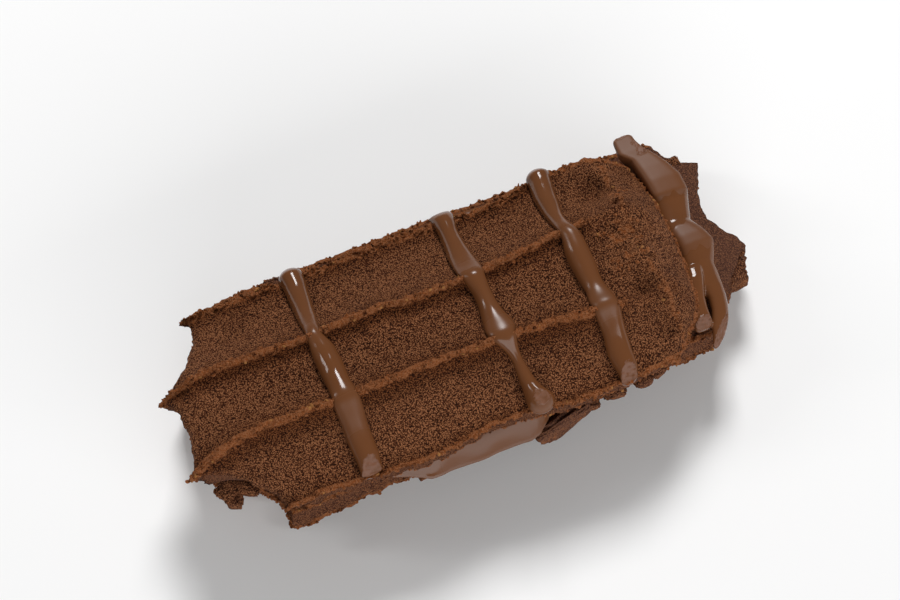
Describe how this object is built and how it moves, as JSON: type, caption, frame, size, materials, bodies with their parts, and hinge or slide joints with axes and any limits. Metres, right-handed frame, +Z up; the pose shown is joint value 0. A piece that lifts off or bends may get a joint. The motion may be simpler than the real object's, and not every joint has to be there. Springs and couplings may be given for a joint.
{
  "type": "chocolate sandwich cookie",
  "caption": "Long sandwich biscuit of fluted piped cocoa dough, filled with chocolate and drizzled across with thick chocolate lines.",
  "frame": {"origin": "on the ground, below the middle of the whole cookie's box", "axes": "+Z up from the ground the ridges of the lower biscuit rest on; +X along the length, towards the round end of the upper biscuit; +Y to the back, away from the squeezed-out lip of filling"},
  "size_m": [0.0776, 0.0336, 0.0224],
  "materials": {
    "biscuit": "matte baked cocoa crumb with fine grain, redder along the ridges",
    "chocolate": "glossy set milk chocolate, greyer on flat tops"
  },
  "bodies": {
    "root": {"upper_biscuit": "biscuit", "filling": "chocolate", "lower_biscuit": "biscuit"}
  },
  "joints": []
}
